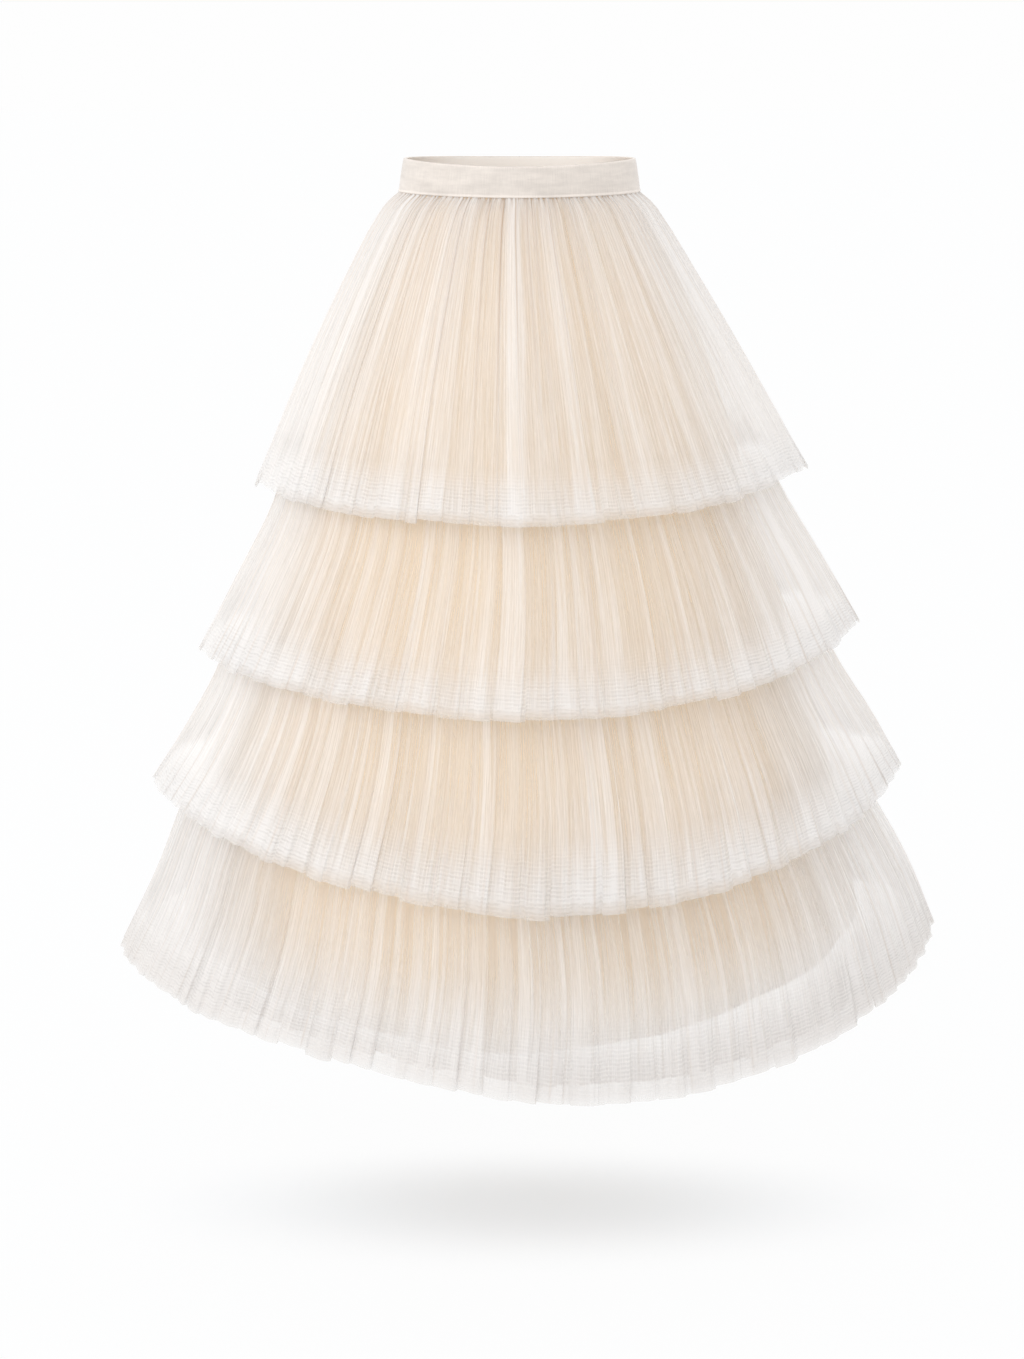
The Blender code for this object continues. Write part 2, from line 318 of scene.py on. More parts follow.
def uneven_wave(share, folds, spread, spacing, seed):
    """Crests and troughs in turn round the skirt, joined by half cosines. The spaces between
    them are 1 plus or minus spacing times an even one, and a crest or trough is up to spread
    lower than 1. Returns the height, and a number that names the fold."""
    chance = np.random.default_rng(seed)
    count = 2 * folds
    gaps = 1.0 + spacing * chance.uniform(-1.0, 1.0, count)
    place = np.cumsum(gaps) / gaps.sum()
    height = np.where(np.arange(count) % 2, 1.0, -1.0) * (1.0 - spread * chance.random(count))
    place = np.concatenate([[place[-1] - 1.0], place, [place[0] + 1.0]])
    height = np.concatenate([[height[-1]], height, [height[0]]])
    around = share - np.floor(share)
    index = np.clip(np.searchsorted(place, around, side="right") - 1, 0, count)
    part = (around - place[index]) / (place[index + 1] - place[index])
    return cosine_step(height[index], height[index + 1], part), index


def uneven_line(share, count, seed):
    """Random values from 0 to 1 at count even places round the skirt, joined by half cosines."""
    value = np.random.default_rng(seed).random(count)
    at = (share - np.floor(share)) * count
    index = np.floor(at).astype(int) % count
    part = at - np.floor(at)
    return cosine_step(value[index], value[(index + 1) % count], part)


def creases(share, count, seed):
    """Narrow pleats of uneven width round the skirt, with a crease on each side: the distance to
    the nearest crease, as a share of the way round, how strong it is, and how dense the pleat
    is, the last two random from 0 to 1."""
    chance = np.random.default_rng(seed)
    gaps = 0.35 + 1.3 * chance.random(count)
    place = np.cumsum(gaps) / gaps.sum()
    strength, density = chance.random(count), chance.random(count + 1)
    place = np.concatenate([[place[-1] - 1.0], place, [place[0] + 1.0]])
    strength = np.concatenate([[strength[-1]], strength, [strength[0]]])
    density[count] = density[0]
    around = share - np.floor(share)
    index = np.clip(np.searchsorted(place, around, side="right") - 1, 0, count)
    before, after = around - place[index], place[index + 1] - around
    nearest = np.where(before < after, strength[index], strength[index + 1])
    return np.minimum(before, after), nearest, density[index]


def grid_piece(name, points, uv, wrap_rows=False, attributes=None):
    """A mesh of four-sided faces over rows of points that run anticlockwise, seen from above,
    once round the skirt and meet, from the top row down. uv holds metres across the cloth, by
    row and column, and down it, by row, with one more where the faces close a round."""
    rows, columns = points.shape[:2]
    mesh = bpy.data.meshes.new(name)
    mesh.vertices.add(rows * columns)
    mesh.vertices.foreach_set("co", points.reshape(-1).astype(np.float32))
    row = np.arange(rows if wrap_rows else rows - 1)[:, None]
    column = np.arange(columns)[None, :]
    # the corners of a face: upper left, lower left, lower right and upper right
    around_face = ((0, 0), (1, 0), (1, 1), (0, 1))
    corners = np.stack(
        [
            (row + below) % rows * columns + (column + beside) % columns
            for below, beside in around_face
        ],
        axis=-1,
    ).reshape(-1, 4)
    mesh.loops.add(corners.size)
    mesh.loops.foreach_set("vertex_index", corners.reshape(-1).astype(np.int32))
    mesh.polygons.add(len(corners))
    mesh.polygons.foreach_set("loop_start", np.arange(0, corners.size, 4, dtype=np.int32))
    mesh.update(calc_edges=True)
    across, down = uv
    loops = [
        np.broadcast_arrays(across[row + below, column + beside], down[row + below])
        for below, beside in around_face
    ]
    layer = mesh.uv_layers.new(name="cloth")
    loops = np.moveaxis(np.array(loops), (0, 1), (2, 3))
    layer.data.foreach_set("uv", loops.reshape(-1).astype(np.float32))
    for label, values in (attributes or {}).items():
        layer = mesh.attributes.new(label, "FLOAT", "POINT")
        layer.data.foreach_set("value", values.reshape(-1).astype(np.float32))
    mesh.shade_smooth()
    mesh.set_sharp_from_angle(angle=SHARP_ANGLE)
    piece = bpy.data.objects.new(name, mesh)
    bpy.context.scene.collection.objects.link(piece)
    return piece


def down_cloth(points):
    """Metres down the cloth at each row: the mean distance between rows, added up."""
    steps = np.linalg.norm(np.diff(points, axis=0), axis=2).mean(axis=1)
    return np.concatenate([[0.0], np.cumsum(steps)])


# ---- materials ----


def toned(colour, value):
    """The colour times the value, up to white."""
    return tuple(min(value * part, 1.0) for part in colour)


class Nodes:
    """Adds nodes to a material or a world from left to right. Each value may be a number, a
    colour or another node's socket."""

    def __init__(self, owner):
        self.owner = owner
        owner.use_nodes = True
        self.tree = owner.node_tree
        self.tree.nodes.clear()
        self.column = 0

    def add(self, kind, settings=None, **sockets):
        node = self.tree.nodes.new(kind)
        node.location = (220 * self.column, 0)
        self.column += 1
        for label, value in (settings or {}).items():
            setattr(node, label, value)
        for label, value in sockets.items():
            self.put(node.inputs[label.replace("_", " ")], value)
        return node

    def put(self, socket, value):
        if isinstance(value, bpy.types.NodeSocket):
            self.tree.links.new(value, socket)
        else:
            socket.default_value = value

    def math(self, operation, first, second=0.0, third=0.0, clamp=False):
        node = self.add("ShaderNodeMath", {"operation": operation, "use_clamp": clamp})
        for socket, value in zip(node.inputs, (first, second, third)):
            self.put(socket, value)
        return node.outputs[0]

    def colours(self, share, first, second):
        """The first colour with a share of the second."""
        node = self.add("ShaderNodeMix", {"data_type": "RGBA"})
        self.put(node.inputs[0], share)
        # the colour sockets of a Mix node share their names with the number sockets
        for socket, value in zip([s for s in node.inputs if s.type == "RGBA"], (first, second)):
            self.put(socket, value if isinstance(value, bpy.types.NodeSocket) else (*value, 1.0))
        return [s for s in node.outputs if s.type == "RGBA"][0]

    def shaders(self, share, first, second):
        """The first shader with a share of the second."""
        node = self.add("ShaderNodeMixShader")
        for socket, value in zip(node.inputs, (share, first, second)):
            self.put(socket, value)
        return node.outputs[0]

    def cloth(self):
        """Metres across and down the cloth."""
        uv = self.add("ShaderNodeUVMap", {"uv_map": "cloth"})
        split = self.add("ShaderNodeSeparateXYZ", Vector=uv.outputs[0])
        return split.outputs[0], split.outputs[1]

    def attribute(self, label):
        return self.add("ShaderNodeAttribute", {"attribute_name": label}).outputs["Fac"]

    def noise(self, cloth, scale, detail=1.0, roughness=0.5):
        """Flat noise over the cloth, by its patches in a metre across and down."""
        across, down = (self.math("MULTIPLY", *pair) for pair in zip(cloth, scale))
        place = self.add("ShaderNodeCombineXYZ", X=across, Y=down)
        node = self.add(
            "ShaderNodeTexNoise", {"noise_dimensions": "2D"}, Vector=place.outputs[0], Scale=1.0,
            Detail=detail, Roughness=roughness,
        )
        return node.outputs["Fac"]

    def near(self, metres, place, width):
        """1 at a place along a length in metres, fading to 0 over width."""
        away = self.math("ABSOLUTE", self.math("SUBTRACT", metres, place))
        return self.math("SUBTRACT", 1.0, self.math("DIVIDE", away, width, clamp=True))

    def line(self, metres, pitch, width):
        """1 on thin lines that lie pitch apart along a length in metres, fading over width."""
        wave = self.math("PINGPONG", metres, pitch / 2)
        return self.math("SUBTRACT", 1.0, self.math("DIVIDE", wave, width, clamp=True))

    def finish(self, shader, kind="ShaderNodeOutputMaterial"):
        self.add(kind, Surface=shader)
        return self.owner


def net_material(name, settings):
    """Sheer net: pale threads over clear holes. The share that is thread comes from the piece's
    veil attribute, with long fine streaks down the cloth that fade where the net is dense, the
    broken rows of the net's grid where hem_band is high, and a soft ragged edge where from_hem
    is near 0. The hem band is a little greyer, and painted shade, read from the piece's
    attribute, darkens the threads in creases, in the nips of the gathers and towards tier 4's hem."""
    made = Nodes(bpy.data.materials.new(name))
    cloth = made.cloth()
    veil = made.attribute("veil")
    hem = made.attribute("hem_band")
    uneven = made.noise(cloth, (settings.streaks, STREAKS_DOWN), detail=4.0, roughness=0.80)
    streak = made.add(
        "ShaderNodeMapRange", Value=uneven, From_Min=STREAK_LOW[0], From_Max=STREAK_HIGH[0],
        To_Min=STREAK_LOW[1], To_Max=STREAK_HIGH[1],
    )
    # veil x (1 + (streak - 1) x strength)
    strength = made.math("MULTIPLY_ADD", veil, *STREAK_FADE, clamp=True)
    streaked = made.math("SUBTRACT", streak.outputs[0], 1.0)
    streaked = made.math("MULTIPLY_ADD", streaked, strength, 1.0)
    streaked = made.math("MULTIPLY", veil, streaked)
    pitch = settings.net_pitch
    rows = made.math("MULTIPLY_ADD", uneven, GRID_WANDER, cloth[1])
    rows = made.line(rows, pitch, pitch * GRID_WIDTH)
    patch = made.noise(cloth, GRID_PATCHES)
    shown = made.math("MULTIPLY_ADD", patch, 4.0, -1.4, clamp=True)
    shown = made.math("MULTIPLY", shown, hem)
    gaps = made.math("MULTIPLY", shown, made.math("SUBTRACT", 1.0, rows))
    cover = made.math("MULTIPLY", streaked, made.math("MULTIPLY_ADD", gaps, GRID_GAPS, 1.0))
    rows = made.math("MULTIPLY", shown, rows)
    cover = made.math("MULTIPLY_ADD", rows, GRID_ROWS, cover, clamp=True)
    edge = made.math("MULTIPLY", patch, HEM_RAGGED[1])
    edge = made.math("MULTIPLY_ADD", uneven, HEM_RAGGED[0], edge)
    edge = made.math("DIVIDE", made.attribute("from_hem"), edge)
    cover = made.math("MULTIPLY", cover, made.math("MULTIPLY_ADD", edge, 0.68, 0.32, clamp=True))
    grey = made.math("MULTIPLY_ADD", gaps, HEM_GREY[0], made.math("MULTIPLY", hem, HEM_GREY[1]))
    tint = made.colours(grey, settings.net_colour, toned(settings.net_colour, GREY))
    # painted shade: the threads tinted towards the crease colour in creases and in the nips of the
    # gathers
    tint = made.colours(made.attribute("crease"), tint, settings.crease_colour)
    thread = made.add(
        "ShaderNodeBsdfPrincipled", Base_Color=tint, Roughness=0.9, Specular_IOR_Level=0.0,
    )
    through = made.add("ShaderNodeBsdfTranslucent", Color=tint)
    thread = made.shaders(THROUGH, thread.outputs[0], through.outputs[0])
    clear = made.add("ShaderNodeBsdfTransparent")
    return made.finish(made.shaders(cover, clear.outputs[0], thread))


def satin_material(name, colour, rib_pitch, seam_at):
    """Ribbed satin: fine upright ribs and brushed streaks under a soft sheen, clouded in tone,
    with a painted highlight along its turned top edge and its bottom bead, and a seam at the
    middle of the back. The plain facing inside has painted shade, browner towards the sides,
    where the corners of the waist lie in shade."""
    made = Nodes(bpy.data.materials.new(name))
    cloth = made.cloth()
    across, down = cloth
    place = made.add("ShaderNodeTexCoord").outputs["Object"]
    stretched = made.add("ShaderNodeMapping", Vector=place, Scale=(0.5, 0.5, 2.2))
    cloud = made.add(
        "ShaderNodeTexNoise", Vector=stretched.outputs[0], Scale=52.0, Detail=4.0, Roughness=0.65,
    )
    brush = made.noise(cloth, (900.0, 60.0))
    # painted highlight: 1 at the top edge and on the bead, falling off in about 2 mm
    top = made.math("DIVIDE", made.math("SUBTRACT", down, BAND_FOLD - 0.0022), 0.0016)
    top = made.math("MULTIPLY", made.math("MAXIMUM", top, 0.0, clamp=True), 0.4)
    low = made.math("SUBTRACT", BAND_BEAD + 0.0018, down)
    edge = made.math("MAXIMUM", top, made.math("DIVIDE", low, 0.0012, clamp=True))
    seam = made.near(across, seam_at, 0.0009)
    pale = made.math("MULTIPLY_ADD", brush, 0.5, -0.25)
    pale = made.math("ADD", pale, made.math("MULTIPLY_ADD", cloud.outputs["Fac"], 1.7, -0.42))
    # painted highlight along the top edge and the bead
    pale = made.math("MULTIPLY_ADD", edge, 0.5, pale)
    pale = made.math("MULTIPLY_ADD", seam, -1.2, pale, clamp=True)
    satin = made.colours(pale, toned(colour, 0.88), toned(colour, 1.16))
    # painted shade: the facing turns browner towards the sides, where the corners of the waist lie
    # in shade
    outer = made.add("ShaderNodeSeparateXYZ", Vector=place).outputs[0]
    outer = made.math("DIVIDE", made.math("ABSOLUTE", outer), BAND_TOP)
    corner_shade = made.math("MULTIPLY", made.math("POWER", outer, 4.0), 0.8)
    facing = made.colours(corner_shade, FACING_COLOUR, PAINTED_FACING_SHADE)
    inside = made.math("LESS_THAN", down, BAND_FACING)
    height = made.line(across, rib_pitch, rib_pitch * 0.5)
    height = made.math("MULTIPLY_ADD", brush, 0.5, height)
    height = made.math("MULTIPLY_ADD", seam, -2.0, height)
    bump = made.add("ShaderNodeBump", Strength=0.25, Distance=0.0002, Height=height)
    shader = made.add(
        "ShaderNodeBsdfPrincipled", Base_Color=made.colours(inside, satin, facing),
        Roughness=0.45, Sheen_Weight=0.35, Sheen_Roughness=0.4, Specular_IOR_Level=0.3,
        Normal=bump.outputs[0],
    )
    return made.finish(shader.outputs[0])


def lining_material(name, colour, stitch_at):
    """Plain lining satin: a fine twill, soft clouds of tone, and a row of stitches above its
    hem, stitch_at metres down the cloth. It is paler towards its hem, and at its sides by the
    piece's side attribute."""
    made = Nodes(bpy.data.materials.new(name))
    across, down = made.cloth()
    twill = made.line(made.math("MULTIPLY_ADD", down, 1.6, across), 0.0011, 0.0005)
    place = made.add("ShaderNodeTexCoord")
    cloud = made.add(
        "ShaderNodeTexNoise", Vector=place.outputs["Object"], Scale=9.0, Detail=2.0,
        Roughness=0.5,
    )
    row = made.near(down, stitch_at, 0.0009)
    stitch = made.math("MULTIPLY", row, made.line(across, 0.0042, 0.0018))
    light = made.math("MULTIPLY_ADD", stitch, -1.0, cloud.outputs["Fac"], clamp=True)
    satin = made.colours(light, toned(colour, 0.88), toned(colour, 1.06))
    # from 53 mm above the stitches to the hem
    low = made.math("SUBTRACT", down, stitch_at - 0.053)
    low = made.math("MULTIPLY", made.math("DIVIDE", low, 0.075, clamp=True), 0.75)
    pale = made.math("MAXIMUM", low, made.attribute("side"))
    height = made.math("MULTIPLY_ADD", stitch, 3.0, twill)
    height = made.math("MULTIPLY_ADD", row, -2.0, height)
    bump = made.add("ShaderNodeBump", Strength=0.2, Distance=0.0003, Height=height)
    shader = made.add(
        "ShaderNodeBsdfPrincipled", Base_Color=made.colours(pale, satin, LINING_PALE),
        Roughness=0.5, Sheen_Weight=0.1, Specular_IOR_Level=0.35, Normal=bump.outputs[0],
    )
    return made.finish(shader.outputs[0])


# ---- settings ----


class SkirtSettings(bpy.types.PropertyGroup):
    """Sizes and colours of the skirt's cloth."""

    band_colour: bpy.props.FloatVectorProperty(
        name="Waistband colour", description="Ivory satin of the waistband",
        default=(0.668, 0.612, 0.562), subtype="COLOR", min=0.0, max=1.0,
    )
    rib_pitch: bpy.props.FloatProperty(
        name="Rib pitch", description="Distance between the waistband's fine ribs",
        default=0.0012, subtype="DISTANCE", unit="LENGTH",
    )
    lining_colour: bpy.props.FloatVectorProperty(
        name="Lining colour", description="Champagne satin of the lining",
        default=(0.78, 0.615, 0.43), subtype="COLOR", min=0.0, max=1.0,
    )
    lining_thickness: bpy.props.FloatProperty(
        name="Lining thickness", description="Thickness of the lining cloth",
        default=0.0006, subtype="DISTANCE", unit="LENGTH",
    )
    net_colour: bpy.props.FloatVectorProperty(
        name="Net colour", description="Ivory thread of the net",
        default=(0.90, 0.888, 0.88), subtype="COLOR", min=0.0, max=1.0,
    )
    # painted shade: the colour the net's threads are darkened to in creases, in nips and towards
    # tier 4's hem
    crease_colour: bpy.props.FloatVectorProperty(
        name="Painted crease shade", description="Net deep in a crease, where several layers shade it",
        default=(0.50, 0.38, 0.28), subtype="COLOR", min=0.0, max=1.0,
    )
    streaks: bpy.props.FloatProperty(
        name="Streaks", description="Fine streaks of the net in a metre of its width",
        default=180.0,
    )
    net_pitch: bpy.props.FloatProperty(
        name="Net line pitch", description="Distance between the grid lines that show at a hem",
        default=0.0038, subtype="DISTANCE", unit="LENGTH",
    )
    hem_depth: bpy.props.FloatProperty(
        name="Hem depth", description="How much of the net is turned up at a tier's hem",
        default=0.040, subtype="DISTANCE", unit="LENGTH",
    )
    veil: bpy.props.FloatProperty(
        name="Veil", description="Share of one layer of net that is thread",
        default=0.42, min=0.0, max=1.0, subtype="FACTOR",
    )
    columns: bpy.props.IntProperty(
        name="Columns", description="Columns of points round an outer layer of net",
        default=2700, min=200, max=4000,
    )


class StageSettings(bpy.types.PropertyGroup):
    """The floor, the lights and the camera."""

    floor_height: bpy.props.FloatProperty(
        name="Floor height", description="Height of the floor below the waist",
        default=-1.228, subtype="DISTANCE", unit="LENGTH",
    )
    sky: bpy.props.FloatProperty(
        name="Sky", description="Brightness of the even light all round", default=1.112,
    )
    key_power: bpy.props.FloatProperty(
        name="Key power", description="Power of the soft lamp at the front left",
        default=46.0, subtype="POWER", unit="POWER",
    )
    lens: bpy.props.FloatProperty(
        name="Lens", description="Focal length of the camera", default=63.4, unit="CAMERA",
    )


# ---- pieces ----


def band_points(columns):
    """The band's section carried round the oval of its height: each point lies on the oval at
    its own drop, moved out along the normal, and the top edge dips at the front and the back."""
    section = np.array(BAND_SECTION[::-1]) / 1000.0
    outset, drop = section[:, 0:1], section[:, 1:2]
    angle = angle_at(np.arange(columns) / columns)[None, :]
    half_width = BAND_TOP + BAND_SLOPE * drop
    x, y, normal_x, normal_y = oval(angle, half_width, half_width * depth_ratio(drop))
    dip = BAND_DIP * (1.0 - drop / BAND_HEIGHT) * np.sin(angle) ** 2
    return np.stack([x + outset * normal_x, y + outset * normal_y, -drop - dip], axis=-1)


def lining_points(columns, rows):
    """Straight between the rows of the lining's table, with soft uneven flutes that deepen from
    FLUTES_FROM to the hem, and a hem that dips at the middle of the front and the back."""
    drops, half_widths = zip(*LINING_ROWS)
    hem = drops[-1]
    drop = np.linspace(drops[0], hem, rows)[:, None]
    share = (np.arange(columns) / columns)[None, :]
    angle = angle_at(share)
    half_width = np.interp(drop, drops, half_widths)
    x, y, normal_x, normal_y = oval(angle, half_width, half_width * depth_ratio(drop))
    flare = np.clip((drop - FLUTES_FROM) / (hem - FLUTES_FROM), 0.0, 1.0)
    flute, _ = uneven_wave(share, FLUTES[0], spread=0.5, spacing=0.4, seed=11)
    small, _ = uneven_wave(share, SMALL_FLUTES[0], spread=0.6, spacing=0.5, seed=12)
    outward = flare**1.5 * (FLUTES[1] * flute - FLUTES_IN + SMALL_FLUTES[1] * small)
    low = np.clip((drop - LINING_DIP_FROM) / (hem - LINING_DIP_FROM), 0.0, 1.0)
    z = -drop - LINING_HEM_DIP * low * np.sin(angle) ** 2
    return np.stack([x + outward * normal_x, y + outward * normal_y, z], axis=-1)


# For each point of a net: how far down and round the tier it is, the height of the folds, how
# deep it lies in a crease and in a nip of the gathers, which set its painted shade, and how
# dense its pleat is.
Place = namedtuple("Place", "fall angle at wave crease gather density")


def net_points(tier, layer, share, hem_depth):
    """One layer of a tier. Every row is the tier's outline, and the net leans: a sum of uneven
    waves moves each point in along the normal by the height of the folds, and along the row by
    less than the space between them, so each fold has a steep side and a flat one. The rows
    under the hem go back up inside as the turned-up hem."""
    drops, half_widths, folds, shifts = zip(*tier.sections)
    head, hem = drops[0], drops[-1]
    height = hem - head - layer.shorter
    low_rows = height - np.array(HEM_RISES) * hem_depth
    drop = head + np.concatenate([height * np.array(ROW_SHARES), low_rows])[:, None]
    inside = np.repeat((0.0, HEM_INSIDE), (len(ROW_SHARES), len(HEM_RISES)))[:, None]
    fall = (drop - head) / (hem - head)
    share = share[None, :]

    half_width = smooth_rows(drop, drops, half_widths)
    fold = smooth_rows(drop, drops, folds)
    shift = smooth_rows(drop, drops, shifts)

    seed = 1000 * int(tier.name[-1]) + layer.seed
    wander, _ = uneven_wave(share, WANDER[0], spread=0.4, spacing=0.5, seed=seed + 1)
    wander_low, _ = uneven_wave(share, WANDER_LOW[0], spread=0.4, spacing=0.5, seed=seed + 2)
    at = share + WANDER[1] * wander * np.sin(2.2 * np.pi * fall)
    at = at + WANDER_LOW[1] * wander_low * fall**2
    coarse, fold_number = uneven_wave(at, tier.folds, spread=0.75, spacing=0.45, seed=seed + 3)
    middle, fine = (
        uneven_wave(at, int(tier.folds * count), spread=0.7, spacing=0.5, seed=seed + order)[0]
        for order, count in ((4, MIDDLE_WAVES), (5, FINE_WAVES))
    )
    gathered = np.clip(1.0 - fall / GATHERED_TO, 0.0, 1.0) ** 1.5
    big, medium, small = (
        free + (held - free) * gathered for free, held in zip(FREE_PARTS, GATHERED_PARTS)
    )
    total = big + medium + small
    wave = (big * coarse + medium * middle + small * fine) / total

    around = half_width * ROUND_LENGTH
    pitch = around / tier.folds
    inset = layer.inset * (2.0 * fold + 0.0012) + inside
    away, strength, density = creases(at, int(CREASES * tier.folds), seed + 7)
    # how deep in a crease, which sets the painted shade and the denser thread there
    crease = (0.2 + 0.8 * strength) * np.exp(-((away * around / CREASE_WIDTH) ** 2))
    away, strength, _ = creases(at, int(GATHERS * tier.folds), seed + 8)
    gather = (0.5 + 0.5 * strength) * np.exp(-((away * around / GATHER_WIDTH) ** 2))
    gather = gather * np.exp(-fall * (hem - head) / GATHER_FADE)
    outward = DEPTH * fold * total * (wave - 1.0) - GATHER_DEPTH * gather - inset
    lean_way = 1.0 - 0.6 * np.cos(math.tau * share) ** 2
    sideways = LEAN * pitch * (0.8 * coarse + 0.2 * middle) * lean_way
    sideways = sideways * np.clip(fall / 0.02, 0.25, 1.0) / around

    angle = angle_at(share + sideways)
    x, y, normal_x, normal_y = oval(angle, half_width, half_width * depth_ratio(drop))
    rise = tier.hem_rise * np.cos(angle) + tier.hem_wave * np.cos(3.0 * angle)
    rise = rise - tier.hem_dip * np.sin(angle) ** 2
    step_at = np.random.default_rng(seed + 6).uniform(-1.0, 1.0, 2 * tier.folds + 2)
    step = HEM_STEP * step_at[(fold_number + 1) // 2] * np.clip((fall - 0.7) / 0.3, 0.0, 1.0)
    z = rise * fall**2 + step - drop
    from_side = 1.0 - np.abs(np.sin(angle))
    tip = fall**3 * from_side**7
    z = z + fall**3 * TIP_LIFT * from_side**2 - TIP_DOWN * tip
    x = x + outward * normal_x + shift + TIP_OUT * tip * np.sign(np.cos(angle))
    points = np.stack([x, y + outward * normal_y, z], axis=-1)
    return points, Place(fall, angle, at, wave, crease, gather, density)


def even_shares(tier, layer, columns, hem_depth):
    """Shares of the way round at which columns stand evenly apart along the cloth itself, folds
    included: the length along a row near the hem, added up on a fine grid and read backwards."""
    fine = np.arange(DENSE) / DENSE
    points, *_ = net_points(tier, layer, fine, hem_depth)
    row = points[LENGTH_ROW]
    steps = np.linalg.norm(np.roll(row, -1, axis=0) - row, axis=1)
    along = np.concatenate([[0.0], np.cumsum(steps)])
    return np.interp(np.arange(columns) / columns * along[-1], along, np.append(fine, 1.0))


def net_veil(tier, layer, place, hem_depth, veil):
    """The share of thread: sparse below the head, denser towards the hem and the sides, with
    uneven streaks that run down the cloth, and dense where the head is gathered into its seam.
    Also how strong the hem's band is, the metres from the hem, and the painted shade in the
    creases and the nips of the gathers: darkest under a seam and at the middle of the front and
    the back, with more painted shade towards tier 4's hem."""
    fall, angle, at, wave, crease, gather, density = place
    top = tier.name == "tier_1"
    seed = 7000 + 10 * int(tier.name[-1]) + layer.seed
    drops, *_ = zip(*tier.sections)
    height = drops[-1] - drops[0]
    from_head = fall * height
    from_hem = np.broadcast_to((1.0 - fall) * height, at.shape)

    # painted shade in the creases and in the nips of the gathers
    shade = middle_crease_shade(fall, angle) if top else FAINT_CREASE
    shade = np.maximum(crease * shade, gather)
    wide = uneven_line(at, int(1.1 * tier.folds), seed) - 0.5
    crest = np.clip(0.5 + 0.5 * wave, 0.0, 1.0) - 0.5
    calm = 1.0 - SIDE_CALM * np.cos(angle) ** 2
    uneven = WIDE_PART * wide + PLEAT_PART * (density - 0.5) + CREST_PART * crest
    streak = (MEAN_STREAK + calm * uneven) * (1.0 + CREASE_VEIL * shade)
    # painted shade, growing towards tier 4's hem
    if tier.name == "tier_4":
        shade = np.maximum(shade, LOW_SHADE * fall**5)
    # here and there a narrow strand of the net lies several layers thick
    _, _, strand = creases(at, int(tier.strands * tier.folds), seed + 2)
    strand = calm * np.clip((strand - STRANDS_FROM) / STRANDS_OVER, 0.0, 1.0)

    side_veils = TOP_SIDE_VEILS if top else SIDE_VEILS
    side = np.interp(np.abs(np.cos(angle)), SIDE_PLACES, side_veils)
    head = 1.0 if top else np.clip(fall / HEAD_FADE, 0.0, 1.0) ** 2
    body = tier.head_veil + (tier.hem_veil - tier.head_veil) * fall**tier.veil_turn
    seam = SEAM_VEIL * np.exp(-from_head / 0.006) * np.clip(from_head / 0.002, 0.0, 1.0)
    patch = 0.65 + 0.50 * uneven_line(at, int(0.8 * tier.folds), seed + 3)
    band = (HEM_FULL + tier.hem_soft - from_hem / hem_depth) / tier.hem_soft
    hem = patch * np.clip(band, 0.0, 1.0)
    amount = (body + side - 1.0) * streak * (1.0 + HEM_BAND_VEIL * hem)
    from_side_seam = 2.0 * at - np.round(2.0 * at)
    amount = amount + seam * (1.0 - gather)
    amount = amount + SIDE_SEAM_VEIL * np.exp(-((from_side_seam / SIDE_SEAM_WIDTH) ** 2))
    amount = veil * head * (amount + tier.strand_veil * strand * (1.0 - 0.5 * hem))
    # the turned-up layer thins out towards its top edge
    turned = (np.arange(len(fall)) >= len(ROW_SHARES))[:, None]
    thinned = amount * np.clip(0.6 - 0.58 * from_hem / hem_depth, 0.0, 1.0)
    return np.clip(np.where(turned, thinned, amount), 0.02, 0.97), hem, from_hem, shade


def middle_crease_shade(fall, angle):
    """How dark the painted shade in the long creases of tier 1 is: most at the middle, less at
    the sides, and less further down."""
    return (0.45 + 0.55 * np.sin(angle) ** 8) * np.exp(-((fall / LONG_CREASE) ** 2))


class SKIRT_OT_waistband(bpy.types.Operator):
    """Makes the satin waistband: one closed shape whose section has a folded top edge, a seam
    line and a piped lower edge"""

    bl_idname = "skirt.waistband"
    bl_label = "Waistband"

    def execute(self, context):
        settings = context.scene.skirt_settings
        points = band_points(BAND_COLUMNS)
        around = np.arange(BAND_COLUMNS + 1) / BAND_COLUMNS * ROUND_LENGTH * BAND_TOP
        across = np.broadcast_to(around, (len(points) + 1, len(around)))
        steps = np.linalg.norm(np.diff(np.array(BAND_SECTION[::-1]), axis=0), axis=1) / 1000.0
        # the last step closes the section
        down = np.concatenate([[0.0], np.cumsum(steps), [steps.sum() + 0.001]])
        piece = grid_piece("satin_waistband", points, (across, down), wrap_rows=True)
        piece.data.materials.append(
            satin_material(
                "ivory_satin", settings.band_colour, settings.rib_pitch,
                seam_at=0.25 * ROUND_LENGTH * BAND_TOP,
            )
        )
        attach(piece, BODY)
        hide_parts("waistband")
        return {"FINISHED"}


class SKIRT_OT_lining(bpy.types.Operator):
    """Makes the A-line lining, all round, with soft flutes at its hem"""

    bl_idname = "skirt.lining"
    bl_label = "Lining"

    def execute(self, context):
        settings = context.scene.skirt_settings
        points = lining_points(LINING_COLUMNS, LINING_STEPS)
        half_width = np.interp(-points[:, 0, 2], *zip(*LINING_ROWS))[:, None]
        across = half_width * np.arange(LINING_COLUMNS + 1) / LINING_COLUMNS * ROUND_LENGTH
        down = down_cloth(points)
        side = np.abs(points[:, :, 0]) / half_width - LINING_SIDES_FROM
        side = np.clip(side / (1.0 - LINING_SIDES_FROM), 0.0, 1.0)
        side = LINING_SIDE_PALE * side**2 * (3.0 - 2.0 * side)
        piece = grid_piece("lining_skirt", points, (across, down), attributes={"side": side})
        piece.data.materials.append(
            lining_material(
                "champagne_lining", settings.lining_colour, float(down[-1]) - LINING_STITCH
            )
        )
        wall = piece.modifiers.new("wall", "SOLIDIFY")
        wall.thickness = settings.lining_thickness
        wall.offset = -1.0
        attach(piece, BODY)
        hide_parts("lining_front", "lining_back")
        return {"FINISHED"}


